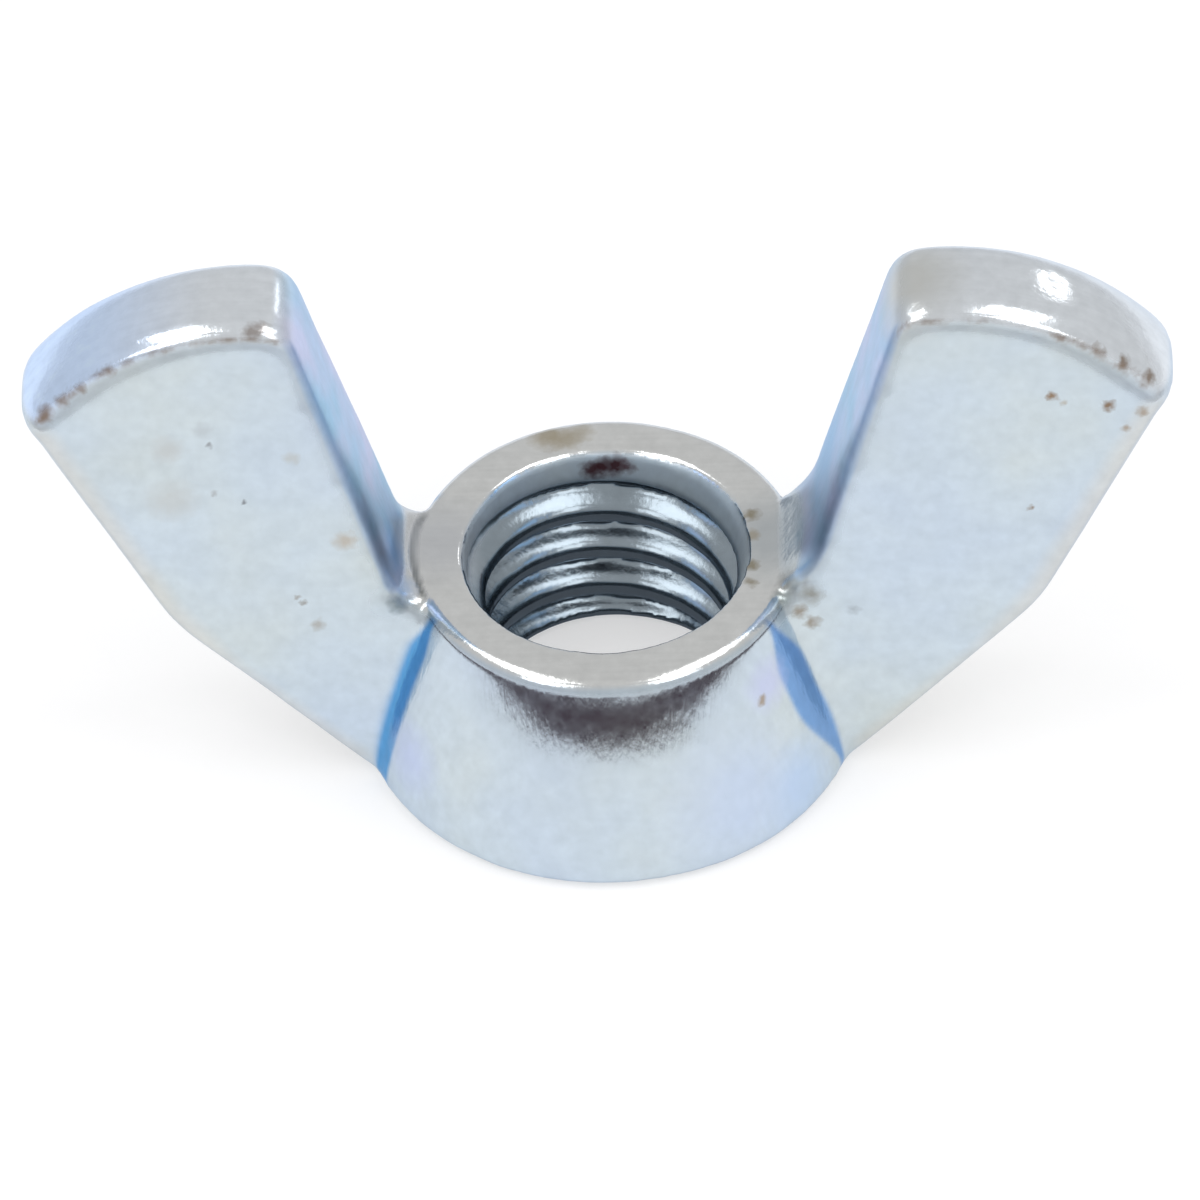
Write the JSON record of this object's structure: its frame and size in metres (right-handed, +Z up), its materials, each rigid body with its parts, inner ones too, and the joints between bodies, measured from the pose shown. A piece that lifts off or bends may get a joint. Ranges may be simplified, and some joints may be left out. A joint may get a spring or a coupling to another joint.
{
  "type": "wing nut",
  "caption": "Forged steel wing nut: a tapped conical boss with drafted, round-tipped wings for turning by hand, bright zinc plated.",
  "frame": {"origin": "centre of the flat base, on the thread's axis", "axes": "+Z up the thread's axis, away from the seat; +X along the wings; +Y across them"},
  "size_m": [0.031, 0.0138, 0.0161],
  "materials": {
    "zinc_plated_steel": "bright zinc plate with a clear blue passivate over cold-forged steel, satin, with small stains and specks"
  },
  "bodies": {
    "root": {"wing_nut": "zinc_plated_steel"}
  },
  "joints": []
}
